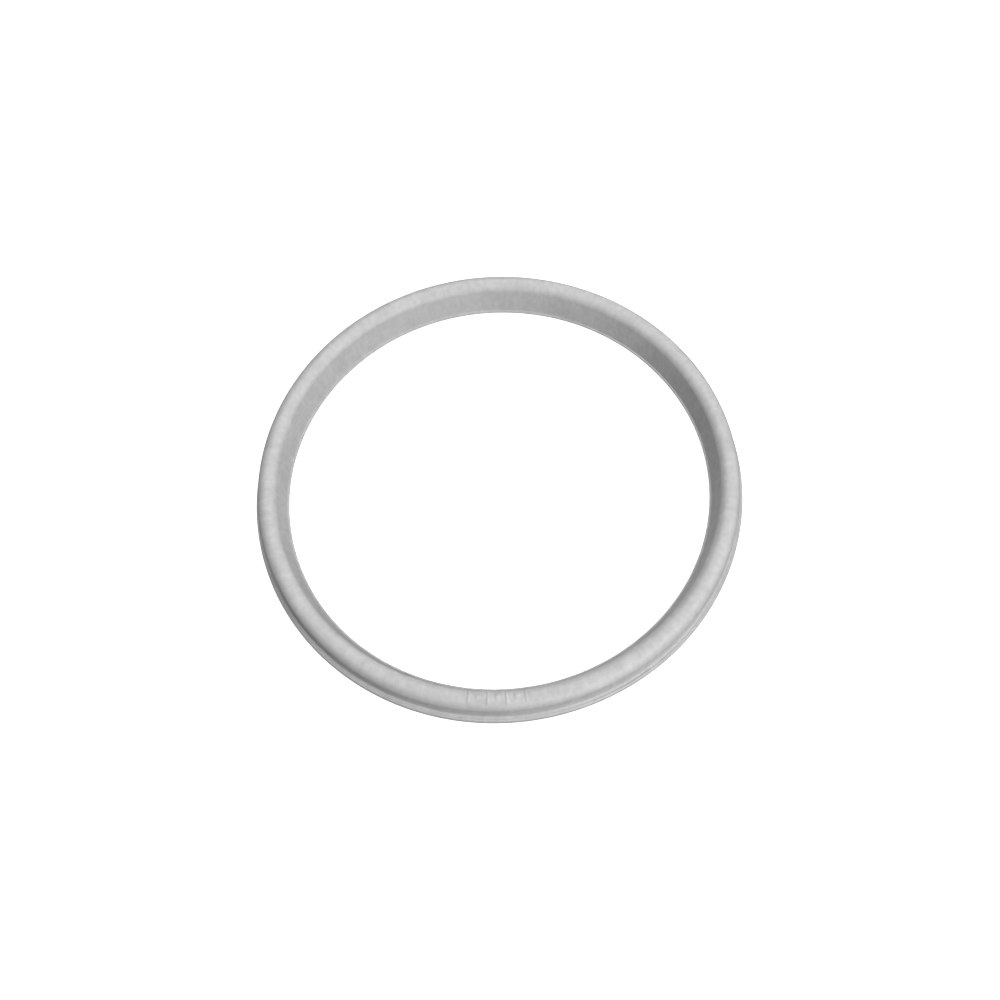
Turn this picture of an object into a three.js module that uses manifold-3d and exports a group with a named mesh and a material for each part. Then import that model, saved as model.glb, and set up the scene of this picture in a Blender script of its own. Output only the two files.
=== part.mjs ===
// Sealing ring (lid gasket) of a stovetop pressure cooker, moulded in one piece
// from silicone rubber. Millimetres, +Z up. The origin is the centre of the ring
// on its flat underside.

import * as THREE from 'three';
import { mergeVertices } from 'three/addons/utils/BufferGeometryUtils.js';
import Module from 'manifold-3d';

// Driving dimensions
const OUTER_DIAMETER = 240;      // across the edge of the flange
const OPENING_DIAMETER = 207.6;  // across the tip of the inner lip
const HEIGHT = 16.2;             // underside to the top of the crown
const EDGE_CHAMFER = 0.3;        // on the edges of the flange and the lip

const LIP_THICKNESS = 1.1;
const LIP_LEDGE = 0.8;           // flat on the lip, inside the foot of the sloping face
const CROWN_RADIUS = 4.95;
const CROWN_INSET = 7.05;        // centre of the crown's round, in from the flange edge
const FLANGE_EDGE = 3;           // thickness of the flange at its edge
const FLANGE_ROOT = 4;           // and where it meets the outer wall
const ROOT_FILLET = 0.7;         // hollow between the flange and the outer wall

const GROOVE_WIDTH = 5.6;        // channel in the underside that the rim of the pot presses into
const GROOVE_DEPTH = 8;
const GROOVE_INSET = 8;          // centre of the channel, in from the flange edge

// Raised mould marks: plain bars with round pips between them
const MARK_COUNT = 7;
const MARK_PITCH = 4.4;          // along the crown
const MARK_RAISE = 0.3;
const MARK_BEARING = 265.3;      // degrees from +X to the middle mark, seen from above
const MARK_TILT = 97;            // degrees from outward to the way the marks face
const BAR_WIDTH = 1.1;
const BAR_LENGTH = 6.4;
const PIP_RADIUS = 1.2;
const MARK_DEPTH = 4;            // of the blank that each mark is cut from

// Facets
const STEPS_ROUND = 96;
const STEPS_CROWN = 12;
const STEPS_FILLET = 3;
const STEPS_GROOVE = 6;
const STEPS_MARK_SHELL = 24;
const STEPS_PIP = 12;

// Worked out
const outerRadius = OUTER_DIAMETER / 2;
const lipRadius = OPENING_DIAMETER / 2;
const crownCentre = new THREE.Vector2(outerRadius - CROWN_INSET, HEIGHT - CROWN_RADIUS);
const grooveRound = GROOVE_WIDTH / 2;
const grooveCentre = new THREE.Vector2(outerRadius - GROOVE_INSET, GROOVE_DEPTH - grooveRound);

const wasm = await Module();
wasm.setup();

function polar(centre, radius, angle) {
  return new THREE.Vector2(
    centre.x + radius * Math.cos(angle),
    centre.y + radius * Math.sin(angle),
  );
}

// Points on an arc in the (radius, height) plane, both ends included.
function arc(centre, radius, from, to, steps) {
  const points = [];
  for (let i = 0; i <= steps; i += 1) {
    points.push(polar(centre, radius, from + ((to - from) * i) / steps));
  }
  return points;
}

// The way the crown faces where the sloping inner face runs into it: the face is
// the tangent to the crown from its foot on the lip.
function bearingWhereSlopeMeetsCrown(foot) {
  const reach = crownCentre.clone().sub(foot);
  const slope = reach.angle() + Math.asin(CROWN_RADIUS / reach.length());
  return slope + Math.PI / 2;
}

// Hollow between the sloping top of the flange and the upright outer wall, which
// drops straight down from the side of the crown.
function flangeRoot() {
  const wallRadius = crownCentre.x + CROWN_RADIUS;
  const climb = Math.atan2(FLANGE_ROOT - FLANGE_EDGE, outerRadius - wallRadius);
  const rise = ROOT_FILLET * Math.tan((Math.PI / 2 - climb) / 2);
  const centre = new THREE.Vector2(wallRadius + ROOT_FILLET, FLANGE_ROOT + rise);
  return arc(centre, ROOT_FILLET, 1.5 * Math.PI - climb, Math.PI, STEPS_FILLET);
}

// Chamfered edge of a flat rim. The outer rim runs upwards and the lip downwards,
// because the outline goes anticlockwise.
function rimEdge(radius, thickness, isLip) {
  const side = isLip ? EDGE_CHAMFER : -EDGE_CHAMFER;
  const edge = [
    new THREE.Vector2(radius + side, 0),
    new THREE.Vector2(radius, EDGE_CHAMFER),
    new THREE.Vector2(radius, thickness - EDGE_CHAMFER),
    new THREE.Vector2(radius + side, thickness),
  ];
  return isLip ? edge.reverse() : edge;
}

// Outline of the ring's section, as (radius, height), closed on itself.
function sectionOutline() {
  const foot = new THREE.Vector2(lipRadius + LIP_LEDGE, LIP_THICKNESS);
  const crownEnd = bearingWhereSlopeMeetsCrown(foot);
  const outline = [
    ...rimEdge(outerRadius, FLANGE_EDGE, false),
    ...flangeRoot(),
    ...arc(crownCentre, CROWN_RADIUS, 0, crownEnd, STEPS_CROWN),
    foot,
    ...rimEdge(lipRadius, LIP_THICKNESS, true),
    new THREE.Vector2(grooveCentre.x - grooveRound, 0),
    ...arc(grooveCentre, grooveRound, Math.PI, 0, STEPS_GROOVE),
    new THREE.Vector2(grooveCentre.x + grooveRound, 0),
  ];
  outline.push(outline[0].clone());
  return outline;
}

function toSolid(geometry) {
  const bare = geometry.clone();
  bare.deleteAttribute('normal');
  bare.deleteAttribute('uv');
  const merged = mergeVertices(bare);
  return new wasm.Manifold(new wasm.Mesh({
    numProp: 3,
    vertProperties: new Float32Array(merged.attributes.position.array),
    triVerts: new Uint32Array(merged.index.array),
  }));
}

function toGeometry(solid) {
  const mesh = solid.getMesh();
  const geometry = new THREE.BufferGeometry();
  geometry.setAttribute('position', new THREE.BufferAttribute(mesh.vertProperties, 3));
  geometry.setIndex(new THREE.BufferAttribute(mesh.triVerts, 1));
  geometry.computeVertexNormals();
  return geometry;
}

function ringBody() {
  const geometry = new THREE.LatheGeometry(sectionOutline(), STEPS_ROUND);
  geometry.rotateX(Math.PI / 2);
  return toSolid(geometry);
}

// The crown grown by the height of a mark: what lies outside it is cut off each mark.
function markShell() {
  const radius = CROWN_RADIUS + MARK_RAISE;
  const torus = new THREE.TorusGeometry(crownCentre.x, radius, STEPS_MARK_SHELL, STEPS_ROUND);
  torus.translate(0, 0, crownCentre.y);
  return toSolid(torus);
}

function barBlank() {
  return new THREE.BoxGeometry(BAR_LENGTH, BAR_WIDTH, MARK_DEPTH);
}

function pipBlank() {
  const pip = new THREE.CylinderGeometry(PIP_RADIUS, PIP_RADIUS, MARK_DEPTH, STEPS_PIP);
  pip.rotateX(Math.PI / 2);
  return pip;
}

// Turns a blank to face out of the crown and carries it round the ring to its place.
function placeMark(blank, offset) {
  const tilt = THREE.MathUtils.degToRad(MARK_TILT);
  const place = polar(crownCentre, CROWN_RADIUS, tilt);
  blank.rotateY(Math.PI / 2 - tilt);
  blank.translate(place.x, 0, place.y);
  blank.rotateZ(THREE.MathUtils.degToRad(MARK_BEARING) + offset / place.x);
  return toSolid(blank);
}

function mouldMarks() {
  const shell = markShell();
  const marks = [];
  for (let i = 0; i < MARK_COUNT; i += 1) {
    const offset = (i - (MARK_COUNT - 1) / 2) * MARK_PITCH;
    const blank = i % 2 === 0 ? barBlank() : pipBlank();
    marks.push(placeMark(blank, offset).intersect(shell));
  }
  return marks;
}

function sealingRing() {
  let solid = ringBody();
  for (const mark of mouldMarks()) {
    solid = solid.add(mark);
  }
  const material = new THREE.MeshStandardMaterial({
    color: 0xcfcfcd,
    roughness: 0.6,
    metalness: 0,
  });
  const mesh = new THREE.Mesh(toGeometry(solid), material);
  mesh.name = 'sealing_ring';
  return mesh;
}

const gasket = new THREE.Group();
gasket.add(sealingRing());

export default gasket;
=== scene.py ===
"""Silicone sealing ring for the lid of a stovetop pressure cooker, on a pale table.

The ring is one moulding. Its section is drawn once, as a closed outline, and Geometry
Nodes sweep it round, let it fall slightly out of round as loose rubber does, and raise
the mould marks on the crown. Metres throughout; the ring stands on z = 0.
"""

import math

import bmesh
import bpy
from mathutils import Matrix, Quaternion, Vector


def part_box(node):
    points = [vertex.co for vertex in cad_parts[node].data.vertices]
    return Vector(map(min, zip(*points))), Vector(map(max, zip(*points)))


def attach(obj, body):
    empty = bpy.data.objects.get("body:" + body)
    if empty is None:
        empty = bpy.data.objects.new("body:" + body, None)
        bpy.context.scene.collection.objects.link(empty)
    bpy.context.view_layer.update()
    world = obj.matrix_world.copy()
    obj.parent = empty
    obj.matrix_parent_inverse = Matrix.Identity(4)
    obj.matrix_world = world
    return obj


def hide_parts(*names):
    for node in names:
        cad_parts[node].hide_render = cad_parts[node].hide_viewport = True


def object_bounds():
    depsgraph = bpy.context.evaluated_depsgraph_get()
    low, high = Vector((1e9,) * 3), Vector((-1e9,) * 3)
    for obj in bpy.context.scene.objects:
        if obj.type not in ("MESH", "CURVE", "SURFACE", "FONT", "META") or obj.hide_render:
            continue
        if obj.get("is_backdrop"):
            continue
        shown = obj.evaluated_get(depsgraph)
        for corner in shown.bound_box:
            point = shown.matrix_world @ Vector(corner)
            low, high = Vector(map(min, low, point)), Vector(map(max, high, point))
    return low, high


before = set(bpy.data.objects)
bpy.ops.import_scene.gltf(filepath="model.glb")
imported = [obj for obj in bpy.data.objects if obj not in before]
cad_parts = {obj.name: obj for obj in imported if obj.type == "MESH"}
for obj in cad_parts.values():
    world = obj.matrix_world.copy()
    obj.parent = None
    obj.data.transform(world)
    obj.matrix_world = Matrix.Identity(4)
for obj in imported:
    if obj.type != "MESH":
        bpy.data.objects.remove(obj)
cad_low, cad_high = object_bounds()

MM = 0.001

# The section, as in the frame: radii from the ring's axis, heights from its underside.
RING_LOW, RING_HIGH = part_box("sealing_ring")
RIM = RING_HIGH.x
MARK_RAISE = 0.3 * MM
HEIGHT = RING_HIGH.z - MARK_RAISE
LIP = RIM - 16.2 * MM
LIP_THICKNESS = 1.1 * MM
LEDGE = 0.8 * MM
CROWN = 4.95 * MM
CROWN_AT = Vector((RIM - 7.05 * MM, HEIGHT - CROWN))
WALL = CROWN_AT.x + CROWN
FLANGE_EDGE = 3.0 * MM
FLANGE_ROOT = 4.0 * MM
GROOVE = 2.8 * MM
GROOVE_AT = Vector((RIM - 8.0 * MM, 5.2 * MM))
EDGE_ROUND = 0.35 * MM
FOOT_ROUND = 0.5 * MM
ROOT_ROUND = 0.7 * MM
MOUTH_ROUND = 0.5 * MM

# Lines that the mould leaves round the flange: how far in from its edge, half the
# width, and how far each stands out, or in if it is a groove.
FLANGE_LINES = [(0.75 * MM, 0.2 * MM, 0.14 * MM), (1.3 * MM, 0.2 * MM, -0.2 * MM)]
SEAM_HEIGHT = 1.6 * MM
SEAM_RAISE = 0.1 * MM

# Raised mould marks: plain bars with round pips between them.
MARK_TILT = math.radians(97)
MARK_BEARING = math.radians(265.3)
MARK_PITCH = 4.4 * MM
MARK_LAST = 3
BAR_LENGTH = 6.4 * MM
BAR_WIDTH = 1.1 * MM
PIP_RADIUS = 1.2 * MM
MARK_SOFTNESS = 0.2 * MM

# How the ring falls out of round, and how its surface and lines come and go.
OVAL = 0.19 * MM
THREE_SIDED = 0.14 * MM
THREE_SIDED_BEARING = -0.17
LIP_OVAL = 0.25 * MM
LIP_BEARING = 0.26
SWELL = 0.02 * MM
SWELL_SCALE = 60.0
LINE_FADE_SCALE = 14.0
LINE_GAIN = 2.4
LINE_LOSS = 0.3
SEED = 3.0

# The silicone: its grey, and how strongly and how finely each kind of mottling shows.
GREY = 0.59
CLOUD_CONTRAST, CLOUD_SCALE = 0.12, 90.0
STREAK_CONTRAST, STREAK_ROUND, STREAK_ACROSS = 0.14, 55.0, 160.0
SPECK_CONTRAST, SPECK_SCALE = 0.16, 420.0
GRAIN_SCALE = 2500.0
ROUGHNESS = 0.46
SCATTER_REACH = 1.2 * MM

# The light.
SKY_STRENGTH = 0.04
BACKDROP_STRENGTH = 0.97
TABLE_GLOW = 0.95
TABLE_HALF = 3.0

# Soft boxes: name, bearing and elevation in degrees, distance, size in metres, watts.
SOFT_BOXES = [
    ("front_low_box", -67, 15, 1.6, 0.9, 9.4),
    ("front_high_box", -47, 35, 1.6, 0.9, 10.5),
    ("right_box", 0, 35, 1.6, 0.6, 4.2),
    ("back_high_box", 90, 55, 1.6, 0.6, 8.5),
    ("back_low_box", 70, 15, 1.6, 0.7, 4.5),
    ("left_box", 187, 55, 1.6, 0.7, 7.3),
]

# How finely the ring is made.
STEPS_ROUND = 680
CROWDING = 0.8
ARC_STEP = 0.33 * MM
FLAT_STEP = 0.95 * MM
SAME_PLACE = 0.001 * MM
NOWHERE_NEAR = 1.0

# The camera looks down at the near side, tipped a little to one side.
CAMERA_ELEVATION = math.radians(64.3)
CAMERA_DISTANCE = 0.74
CAMERA_ROLL = math.radians(-5.3)
CAMERA_AIM = Vector((0.00045, -0.00545, 0))
CAMERA_LENS = 53.6
CAMERA_SENSOR = 36


# ---------------------------------------------------------------------- node trees


class Wire:
    """A socket in a node tree. Arithmetic on wires adds Math nodes."""

    def __init__(self, bench, socket):
        self.bench = bench
        self.socket = socket

    def math(self, operation, *terms):
        return self.bench.math(operation, *terms)

    def __add__(self, other):
        return self.math("ADD", self, other)

    def __radd__(self, other):
        return self.math("ADD", other, self)

    def __sub__(self, other):
        return self.math("SUBTRACT", self, other)

    def __rsub__(self, other):
        return self.math("SUBTRACT", other, self)

    def __mul__(self, other):
        return self.math("MULTIPLY", self, other)

    def __rmul__(self, other):
        return self.math("MULTIPLY", other, self)

    def __truediv__(self, other):
        return self.math("DIVIDE", self, other)

    def __mod__(self, other):
        return self.math("MODULO", self, other)

    def __lt__(self, other):
        return self.math("LESS_THAN", self, other)

    def __abs__(self):
        return self.math("ABSOLUTE", self)

    def __round__(self):
        return self.math("ROUND", self)


class Bench:
    """Adds nodes to one tree and wires them up."""

    def __init__(self, tree):
        self.tree = tree

    def node(self, kind, settings=None, inputs=None, output=0):
        """Adds a node, with its settings first and then its sockets' values or links."""
        made = self.tree.nodes.new(kind)
        for name, value in (settings or {}).items():
            setattr(made, name, value)
        for key, value in (inputs or {}).items():
            if isinstance(value, Wire):
                self.tree.links.new(value.socket, made.inputs[key])
            else:
                made.inputs[key].default_value = value
        return Wire(self, made.outputs[output]) if made.outputs else made

    def math(self, operation, *terms):
        return self.node("ShaderNodeMath", {"operation": operation}, dict(enumerate(terms)))

    def sine(self, angle):
        return self.math("SINE", angle)

    def cosine(self, angle):
        return self.math("COSINE", angle)

    def length(self, x, y):
        return self.math("SQRT", x * x + y * y)

    def vector(self, x, y, z):
        return self.node("ShaderNodeCombineXYZ", None, {0: x, 1: y, 2: z})

    def parts(self, vector):
        split = self.node("ShaderNodeSeparateXYZ", None, {0: vector}).socket.node
        return [Wire(self, socket) for socket in split.outputs]


# ------------------------------------------------------------------- ring's section


def polar(centre, radius, angle):
    return centre + radius * Vector((math.cos(angle), math.sin(angle)))


def arc(centre, radius, start, end, step):
    """Points along an arc, both ends included, about a step apart."""
    count = max(3, math.ceil(abs(end - start) * radius / step))
    return [polar(centre, radius, start + (end - start) * i / count) for i in range(count + 1)]


def rounded(before, corner, after, radius, steps=4):
    """Points of the arc that rounds off a corner between two straight sides."""
    back = (before - corner).normalized()
    on = (after - corner).normalized()
    half = back.angle(on) / 2
    centre = corner + (back + on).normalized() * radius / math.sin(half)
    reach = radius / math.tan(half)
    start = corner + back * reach - centre
    end = corner + on * reach - centre
    turn = end.angle_signed(start)
    first = math.atan2(start.y, start.x)
    return [polar(centre, radius, first + turn * i / steps) for i in range(steps + 1)]


def filled(points):
    """The closed outline with its long straight stretches cut into short ones."""
    fine = []
    for here, there in zip(points, points[1:] + points[:1]):
        pieces = max(1, round((there - here).length / FLAT_STEP))
        fine += [here.lerp(there, i / pieces) for i in range(pieces)]
    return fine


def slope_bearing(foot):
    """The way the crown faces where the sloping inner face runs into it."""
    reach = CROWN_AT - foot
    slope = math.atan2(reach.y, reach.x) + math.asin(CROWN / reach.length)
    return slope + math.pi / 2


def flange_lines(edge, root):
    """Points across the flange's top, three to each line that the mould leaves there."""
    inwards = (root - edge).normalized()
    return [
        edge + inwards * (inset + side * half)
        for inset, half, _ in FLANGE_LINES
        for side in (-1, 0, 1)
    ]


def section_outline():
    """The ring's section as (radius, height), anticlockwise from the foot of the rim."""
    groove_in = GROOVE_AT.x - GROOVE
    groove_out = GROOVE_AT.x + GROOVE
    foot = Vector((LIP + LEDGE, LIP_THICKNESS))
    rim_foot, rim_top = Vector((RIM, 0)), Vector((RIM, FLANGE_EDGE))
    root, wall_top = Vector((WALL, FLANGE_ROOT)), Vector((WALL, CROWN_AT.y))
    lip_top, lip_foot = Vector((LIP, LIP_THICKNESS)), Vector((LIP, 0))
    mouth_in, mouth_out = Vector((groove_in, 0)), Vector((groove_out, 0))
    wall_in, wall_out = Vector((groove_in, GROOVE_AT.y)), Vector((groove_out, GROOVE_AT.y))
    crown_end = slope_bearing(foot)
    slope_top = polar(CROWN_AT, CROWN, crown_end)
    seam = [Vector((RIM, SEAM_HEIGHT + side * SEAM_RAISE * 1.5)) for side in (-1, 0, 1)]
    return filled(
        rounded(mouth_out, rim_foot, rim_top, EDGE_ROUND)
        + seam
        + rounded(rim_foot, rim_top, root, EDGE_ROUND)
        + flange_lines(rim_top, root)
        + rounded(rim_top, root, wall_top, ROOT_ROUND)
        + arc(CROWN_AT, CROWN, 0, crown_end, ARC_STEP)
        + rounded(slope_top, foot, lip_top, FOOT_ROUND)
        + rounded(foot, lip_top, lip_foot, EDGE_ROUND)
        + rounded(lip_top, lip_foot, mouth_in, EDGE_ROUND)
        + rounded(lip_foot, mouth_in, wall_in, MOUTH_ROUND)
        + arc(GROOVE_AT, GROOVE, math.pi, 0, ARC_STEP * 2)
        + rounded(wall_out, mouth_out, rim_foot, MOUTH_ROUND)
    )


def along_crown(point):
    """Distance over the crown from the middle of the marks, or far off the crown."""
    spoke = point - CROWN_AT
    if spoke.length > CROWN * 1.001:
        return NOWHERE_NEAR
    return (math.atan2(spoke.y, spoke.x) - MARK_TILT) * CROWN


def line_raise(point):
    """How far the mould's lines lift this point of the section out of the surface."""
    edge, root = Vector((RIM, FLANGE_EDGE)), Vector((WALL, FLANGE_ROOT))
    inwards = (root - edge).normalized()
    for inset, _, raised in FLANGE_LINES:
        if (point - edge - inwards * inset).length < SAME_PLACE:
            return raised
    on_seam = (point - Vector((RIM, SEAM_HEIGHT))).length < SAME_PLACE
    return SEAM_RAISE if on_seam else 0.0


def section_mesh():
    """The outline as a loop of edges that carries what the sweep has to know.
    It runs clockwise, so that the faces that it sweeps point outwards."""
    outline = section_outline()[::-1]
    count = len(outline)
    mesh = bpy.data.meshes.new("ring_section")
    edges = [(i, (i + 1) % count) for i in range(count)]
    mesh.from_pydata([(p.x, p.y, 0) for p in outline], edges, [])
    places = [c for p in outline for c in (p.x, p.y, 0)]
    mesh.attributes.new("section", "FLOAT_VECTOR", "POINT").data.foreach_set("vector", places)
    reach = [along_crown(point) for point in outline]
    mesh.attributes.new("across", "FLOAT", "POINT").data.foreach_set("value", reach)
    lines = [line_raise(point) for point in outline]
    mesh.attributes.new("line", "FLOAT", "POINT").data.foreach_set("value", lines)
    return mesh


# ------------------------------------------------------------------- sweeping round

SWEEP_INPUTS = {
    "Steps Round": ("NodeSocketInt", STEPS_ROUND),
    "Crowding": ("NodeSocketFloat", CROWDING),
    "Mark Bearing": ("NodeSocketFloat", MARK_BEARING),
    "Mark Pitch": ("NodeSocketFloat", MARK_PITCH),
    "Last Mark": ("NodeSocketFloat", MARK_LAST),
    "Mark Raise": ("NodeSocketFloat", MARK_RAISE),
    "Bar Length": ("NodeSocketFloat", BAR_LENGTH),
    "Bar Width": ("NodeSocketFloat", BAR_WIDTH),
    "Pip Radius": ("NodeSocketFloat", PIP_RADIUS),
    "Softness": ("NodeSocketFloat", MARK_SOFTNESS),
    "Oval": ("NodeSocketFloat", OVAL),
    "Three Sided": ("NodeSocketFloat", THREE_SIDED),
    "Lip Oval": ("NodeSocketFloat", LIP_OVAL),
    "Lip Bearing": ("NodeSocketFloat", LIP_BEARING),
    "Unevenness": ("NodeSocketFloat", SWELL),
    "Seed": ("NodeSocketFloat", SEED),
    "Material": ("NodeSocketMaterial", None),
}


def named(bench, name, kind="FLOAT"):
    """The wire of an attribute that the section or the path carries."""
    return bench.node("GeometryNodeInputNamedAttribute", {"data_type": kind}, {"Name": name})


def swept_band(bench, given):
    """The section joined round a circle, with how far round each point is, from 0 to 1."""
    section = bench.node("GeometryNodeMeshToCurve", None, {"Mesh": given["Geometry"]})
    path = bench.node(
        "GeometryNodeCurvePrimitiveCircle",
        {"mode": "RADIUS"},
        {"Resolution": given["Steps Round"], "Radius": RIM},
    )
    index = bench.node("GeometryNodeInputIndex")
    path = bench.node(
        "GeometryNodeStoreNamedAttribute",
        {"data_type": "FLOAT", "domain": "POINT"},
        {"Geometry": path, "Name": "turn", "Value": index / given["Steps Round"]},
    )
    return bench.node("GeometryNodeCurveToMesh", None, {"Curve": path, "Profile Curve": section})


def from_marks(bench, given):
    """The angle round from the middle mark. Points crowd together near the marks."""
    turn = named(bench, "turn") * math.tau
    return turn - given["Crowding"] * bench.sine(turn)


def round_place(bench, given, past_marks):
    """Where each point of the section goes: round the axis, a little out of round."""
    bearing = given["Mark Bearing"] + past_marks
    radius, height, _ = bench.parts(named(bench, "section", "FLOAT_VECTOR"))
    towards_lip = bench.node(
        "ShaderNodeMapRange", None, {0: radius, 1: CROWN_AT.x, 2: LIP, 3: 0.0, 4: 1.0}
    )
    oval = given["Oval"] * bench.cosine(2 * bearing)
    three_sided = given["Three Sided"] * bench.cosine(3 * (bearing - THREE_SIDED_BEARING))
    flex = towards_lip * given["Lip Oval"] * bench.cosine(2 * (bearing - given["Lip Bearing"]))
    radius = radius + oval + three_sided + flex
    return bench.vector(radius * bench.cosine(bearing), radius * bench.sine(bearing), height)


def line_height(bench, given):
    """How far the mould's lines stand out here: they come and go along the flange."""
    strength = bench.node(
        "ShaderNodeTexNoise",
        {"noise_dimensions": "4D"},
        {"Scale": LINE_FADE_SCALE, "Detail": 2.0, "W": given["Seed"] + 5},
    )
    return named(bench, "line") * (strength * LINE_GAIN - LINE_LOSS)


def mark_height(bench, given, past_marks):
    """How far the marks raise each point: bars and pips by turns, with soft edges."""
    wrapped = bench.math("WRAP", past_marks, math.pi, -math.pi)
    along = wrapped * (CROWN_AT.x + CROWN * math.cos(MARK_TILT))
    number = round(along / given["Mark Pitch"])
    is_bar = abs(number) % 2
    straight = given["Bar Length"] - given["Bar Width"]
    past_end = abs(named(bench, "across")) - is_bar * straight / 2
    past_end = bench.math("MAXIMUM", past_end, 0)
    aside = along - number * given["Mark Pitch"]
    distance = bench.length(aside, past_end)
    half = given["Pip Radius"] + is_bar * (given["Bar Width"] / 2 - given["Pip Radius"])
    shape = bench.node(
        "ShaderNodeMapRange",
        {"interpolation_type": "SMOOTHSTEP"},
        {0: distance, 1: half + given["Softness"], 2: half - given["Softness"], 3: 0.0, 4: 1.0},
    )
    return given["Mark Raise"] * shape * (abs(number) < given["Last Mark"] + 0.5)


def unevenness(bench, given):
    """Slow shallow swells in the surface, both ways from the true shape."""
    noise = bench.node(
        "ShaderNodeTexNoise",
        {"noise_dimensions": "4D"},
        {"Scale": SWELL_SCALE, "Detail": 2.0, "Roughness": 0.5, "W": given["Seed"]},
    )
    return (noise - 0.5) * 2 * given["Unevenness"]


def sweep_tree():
    tree = bpy.data.node_groups.new("sweep_ring", "GeometryNodeTree")
    tree.interface.new_socket("Geometry", in_out="INPUT", socket_type="NodeSocketGeometry")
    for name, (kind, _) in SWEEP_INPUTS.items():
        tree.interface.new_socket(name, in_out="INPUT", socket_type=kind)
    tree.interface.new_socket("Geometry", in_out="OUTPUT", socket_type="NodeSocketGeometry")
    bench = Bench(tree)
    entry = bench.node("NodeGroupInput").socket.node
    given = {socket.name: Wire(bench, socket) for socket in entry.outputs if socket.name}
    past_marks = from_marks(bench, given)
    band = swept_band(bench, given)
    place = round_place(bench, given, past_marks)
    band = bench.node("GeometryNodeSetPosition", None, {"Geometry": band, "Position": place})
    rise = mark_height(bench, given, past_marks) + unevenness(bench, given)
    rise = rise + line_height(bench, given)
    normal = bench.node("GeometryNodeInputNormal")
    lift = bench.node(
        "ShaderNodeVectorMath", {"operation": "SCALE"}, {"Vector": normal, "Scale": rise}
    )
    band = bench.node("GeometryNodeSetPosition", None, {"Geometry": band, "Offset": lift})
    band = bench.node("GeometryNodeRealizeInstances", None, {"Geometry": band})
    band = bench.node(
        "GeometryNodeSetMaterial", None, {"Geometry": band, "Material": given["Material"]}
    )
    bench.node("NodeGroupOutput", None, {"Geometry": band})
    return tree


def sealing_ring(silicone):
    """Sweeps the section round and keeps the result as a plain mesh."""
    ring = bpy.data.objects.new("silicone_ring", section_mesh())
    bpy.context.scene.collection.objects.link(ring)
    sweep = ring.modifiers.new("sweep", "NODES")
    sweep.node_group = sweep_tree()
    for item in sweep.node_group.interface.items_tree:
        if item.in_out == "INPUT" and item.name in SWEEP_INPUTS:
            value = SWEEP_INPUTS[item.name][1]
            sweep[item.identifier] = silicone if item.name == "Material" else value
    graph = bpy.context.evaluated_depsgraph_get()
    swept = bpy.data.meshes.new_from_object(ring.evaluated_get(graph))
    ring.modifiers.clear()
    ring.data = swept
    swept.name = "silicone_ring"
    face_outwards(swept)
    return ring


def face_outwards(mesh):
    shell = bmesh.new()
    shell.from_mesh(mesh)
    bmesh.ops.recalc_face_normals(shell, faces=shell.faces)
    for face in shell.faces:
        face.smooth = True
    shell.to_mesh(mesh)
    shell.free()


# ------------------------------------------------------------------------ materials


def silicone_material():
    """Matte light grey moulded silicone: faint mottling, and faint streaks that run
    across the band, from the lip over the crown to the flange."""
    material = bpy.data.materials.new("grey_silicone")
    material.use_nodes = True
    tree = material.node_tree
    tree.nodes.clear()
    bench = Bench(tree)
    place = bench.node("ShaderNodeTexCoord", None, None, "Object")
    cloud = bench.node(
        "ShaderNodeTexNoise", None, {"Vector": place, "Scale": CLOUD_SCALE, "Detail": 4.0}
    )
    x, y, z = bench.parts(place)
    radius = bench.length(x, y)
    streak_place = bench.vector(
        x / radius * STREAK_ROUND, y / radius * STREAK_ROUND, radius * STREAK_ACROSS
    )
    streak = bench.node(
        "ShaderNodeTexNoise",
        {"noise_dimensions": "4D"},
        {"Vector": streak_place, "W": z * STREAK_ACROSS, "Scale": 1.0, "Detail": 3.0},
    )
    speck = bench.node(
        "ShaderNodeTexNoise", None, {"Vector": place, "Scale": SPECK_SCALE, "Detail": 3.0}
    )
    grain = bench.node(
        "ShaderNodeTexNoise", None, {"Vector": place, "Scale": GRAIN_SCALE, "Detail": 2.0}
    )
    grey = GREY + (cloud - 0.5) * CLOUD_CONTRAST
    grey = grey + (streak - 0.5) * STREAK_CONTRAST
    grey = grey + (speck - 0.5) * SPECK_CONTRAST
    colour = bench.node("ShaderNodeCombineColor", None, {0: grey, 1: grey, 2: grey})
    roughness = ROUGHNESS + (cloud - 0.5) * 0.15 + (grain - 0.5) * 0.1
    relief = streak * 0.5 + grain * 0.3 + cloud * 0.4
    bump = bench.node(
        "ShaderNodeBump", None, {"Strength": 0.25, "Distance": 0.0001, "Height": relief}
    )
    shader = bench.node(
        "ShaderNodeBsdfPrincipled",
        None,
        {
            "Base Color": colour,
            "Roughness": roughness,
            "Normal": bump,
            "IOR": 1.41,
            "Subsurface Weight": 0.08,
            "Subsurface Radius": (SCATTER_REACH, SCATTER_REACH, SCATTER_REACH),
            "Subsurface Scale": 1.0,
        },
    )
    bench.node("ShaderNodeOutputMaterial", None, {"Surface": shader})
    return material


def table_material():
    """Nearly white, with a glow of its own that hides its edge and the ring's shadow."""
    material = bpy.data.materials.new("pale_table")
    material.use_nodes = True
    shader = material.node_tree.nodes["Principled BSDF"]
    shader.inputs["Base Color"].default_value = (0.8, 0.8, 0.8, 1)
    shader.inputs["Roughness"].default_value = 0.9
    shader.inputs["Specular IOR Level"].default_value = 0.1
    shader.inputs["Emission Color"].default_value = (1, 1, 1, 1)
    shader.inputs["Emission Strength"].default_value = TABLE_GLOW
    return material


# ---------------------------------------------------------------------------- stage


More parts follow.
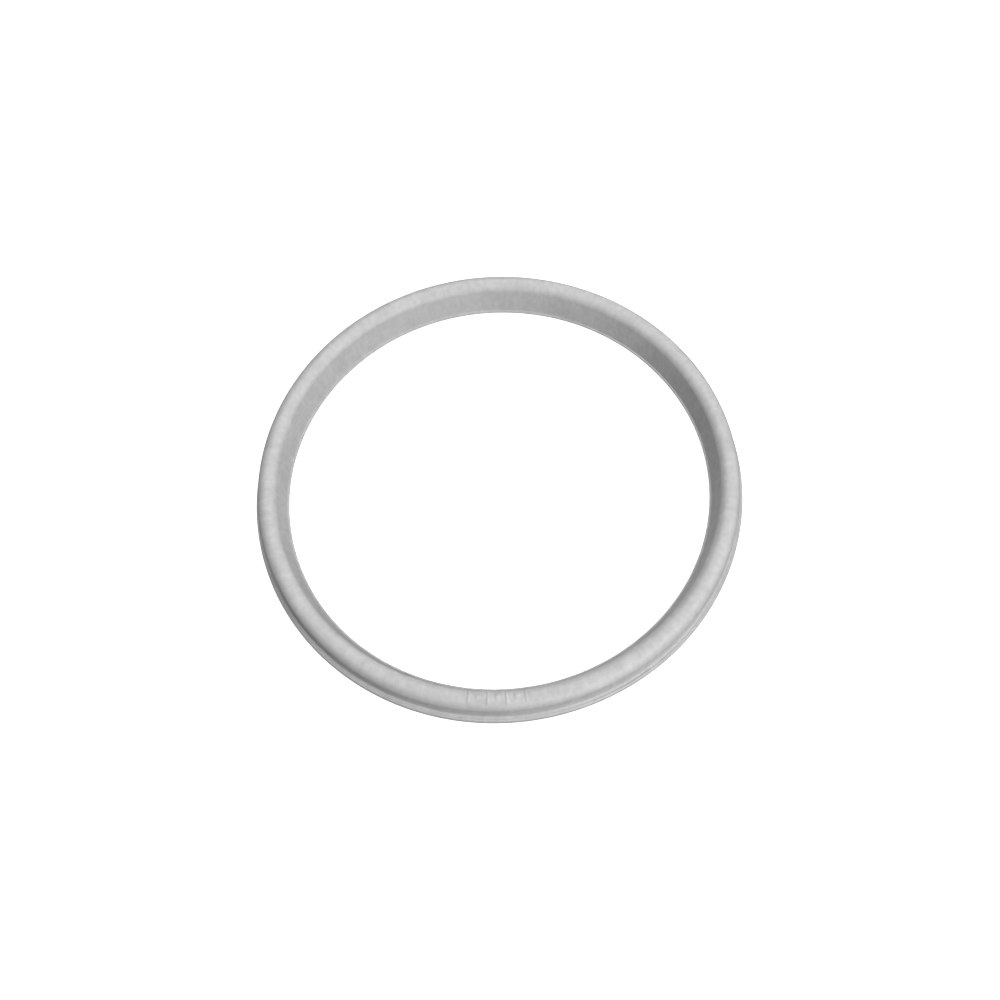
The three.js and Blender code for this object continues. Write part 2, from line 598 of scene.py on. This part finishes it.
def pale_table():
    """The table throws no light back at the ring, so the soft boxes alone model it."""
    mesh = bpy.data.meshes.new("table_top")
    corners = [(x * TABLE_HALF, y * TABLE_HALF, 0) for x, y in ((-1, -1), (1, -1), (1, 1), (-1, 1))]
    mesh.from_pydata(corners, [], [(0, 1, 2, 3)])
    mesh.materials.append(table_material())
    table = bpy.data.objects.new("table_top", mesh)
    bpy.context.scene.collection.objects.link(table)
    table.visible_diffuse = False
    table.visible_glossy = False
    table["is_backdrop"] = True


def camera():
    back = Vector((0, -math.cos(CAMERA_ELEVATION), math.sin(CAMERA_ELEVATION)))
    lens = bpy.data.cameras.new("camera")
    lens.lens = CAMERA_LENS
    lens.sensor_width = CAMERA_SENSOR
    viewer = bpy.data.objects.new("camera", lens)
    viewer.location = back * CAMERA_DISTANCE
    look = (CAMERA_AIM - viewer.location).to_track_quat("-Z", "Y")
    viewer.rotation_mode = "QUATERNION"
    viewer.rotation_quaternion = look @ Quaternion((0, 0, 1), CAMERA_ROLL)
    bpy.context.scene.collection.objects.link(viewer)
    bpy.context.scene.camera = viewer


def soft_box(name, bearing, elevation, distance, size, watts):
    lamp = bpy.data.lights.new(name, "AREA")
    lamp.shape = "DISK"
    lamp.size = size
    lamp.energy = watts
    holder = bpy.data.objects.new(name, lamp)
    turn, rise = math.radians(bearing), math.radians(elevation)
    way = Vector((
        math.cos(turn) * math.cos(rise),
        math.sin(turn) * math.cos(rise),
        math.sin(rise),
    ))
    holder.location = way * distance
    holder.rotation_mode = "QUATERNION"
    holder.rotation_quaternion = way.to_track_quat("Z", "Y")
    bpy.context.scene.collection.objects.link(holder)


def studio_light():
    """Soft boxes, and a pale backdrop that adds next to no light of its own."""
    world = bpy.data.worlds.new("studio")
    world.use_nodes = True
    world.node_tree.nodes.clear()
    bench = Bench(world.node_tree)
    is_seen = bench.node("ShaderNodeLightPath")
    strength = SKY_STRENGTH + is_seen * (BACKDROP_STRENGTH - SKY_STRENGTH)
    backdrop = bench.node(
        "ShaderNodeBackground", None, {"Color": (1, 1, 1, 1), "Strength": strength}
    )
    bench.node("ShaderNodeOutputWorld", None, {"Surface": backdrop})
    bpy.context.scene.world = world
    for box in SOFT_BOXES:
        soft_box(*box)
    bpy.context.scene.view_settings.view_transform = "Standard"


# --------------------------------------------------------------------- putting it up

ring = sealing_ring(silicone_material())
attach(ring, "root")
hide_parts("sealing_ring")

pale_table()
camera()
studio_light()

low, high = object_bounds()
{"cad": [list(cad_low), list(cad_high)], "visual": [list(low), list(high)]}
